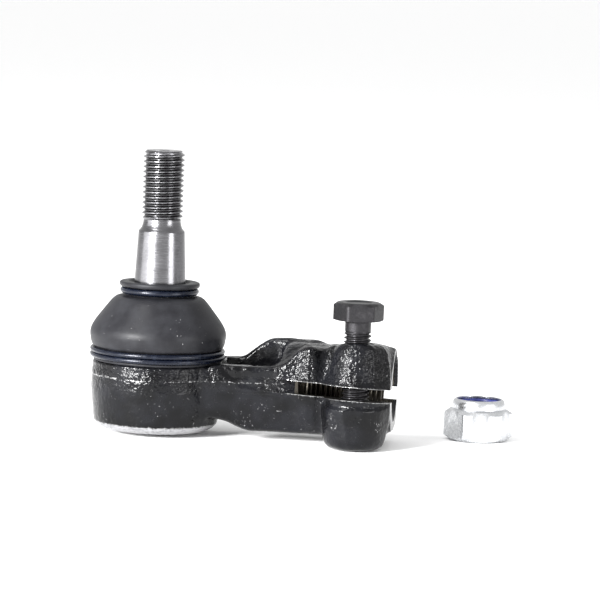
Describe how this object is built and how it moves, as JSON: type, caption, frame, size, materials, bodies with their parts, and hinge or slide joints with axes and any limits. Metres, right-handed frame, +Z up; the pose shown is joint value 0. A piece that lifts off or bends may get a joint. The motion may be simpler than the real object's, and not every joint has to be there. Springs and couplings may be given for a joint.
{
  "type": "tie rod end",
  "caption": "Steering tie rod end: a ball stud in a booted socket whose arm ends in a slotted, threaded clamp for the rod, with clamp bolt and loose lock nut.",
  "frame": {"origin": "centre of the ball", "axes": "+Z up the ball stud, +X along the arm to the open end of the clamp, the clamp's ear on the -Y side"},
  "size_m": [0.1249, 0.0515, 0.083],
  "materials": {
    "forging": "semi-gloss black paint over a forged skin",
    "seat": "moulded",
    "spring_steel": "oiled",
    "cap": "pressed",
    "stud": "turned bright",
    "boot": "satin",
    "ring": "blued, glossy",
    "bolt": "phosphated",
    "nut": "bright zinc plate",
    "insert": "nylon"
  },
  "bodies": {
    "housing": {"housing": "forging", "upper_seat": "seat", "lower_seat": "seat", "preload_spring": "spring_steel", "end_cap": "cap"},
    "boot": {"boot": "boot", "lower_ring": "ring"},
    "boot_neck": {"upper_ring": "ring"},
    "stud": {"ball_stud": "stud"},
    "clamp_bolt": {"clamp_bolt": "bolt"},
    "lock_nut": {"lock_nut": "nut", "nylon_insert": "insert"}
  },
  "joints": [
    {"name": "swing_direction", "type": "hinge", "parent": "housing", "child": "boot", "pos_m": [0, 0, 0], "axis": [0, 0, 1], "continuous": true},
    {"name": "swing", "type": "hinge", "parent": "boot", "child": "boot_neck", "pos_m": [0, 0, 0], "axis": [0, 1, 0], "range_deg": [-25, 25], "deforming": ["boot"]},
    {"name": "stud_spin", "type": "hinge", "parent": "boot_neck", "child": "stud", "pos_m": [0, 0, 0], "axis": [0, 0, 1], "continuous": true},
    {"name": "clamp_bolt_screw", "type": "slide", "parent": "housing", "child": "clamp_bolt", "axis": [0, 0, -1], "range_m": [0, 0.0063]},
    {"name": "lock_nut_lift", "type": "slide", "parent": "housing", "child": "lock_nut", "axis": [0, 0, 1], "range_m": [0, 0.05]}
  ]
}
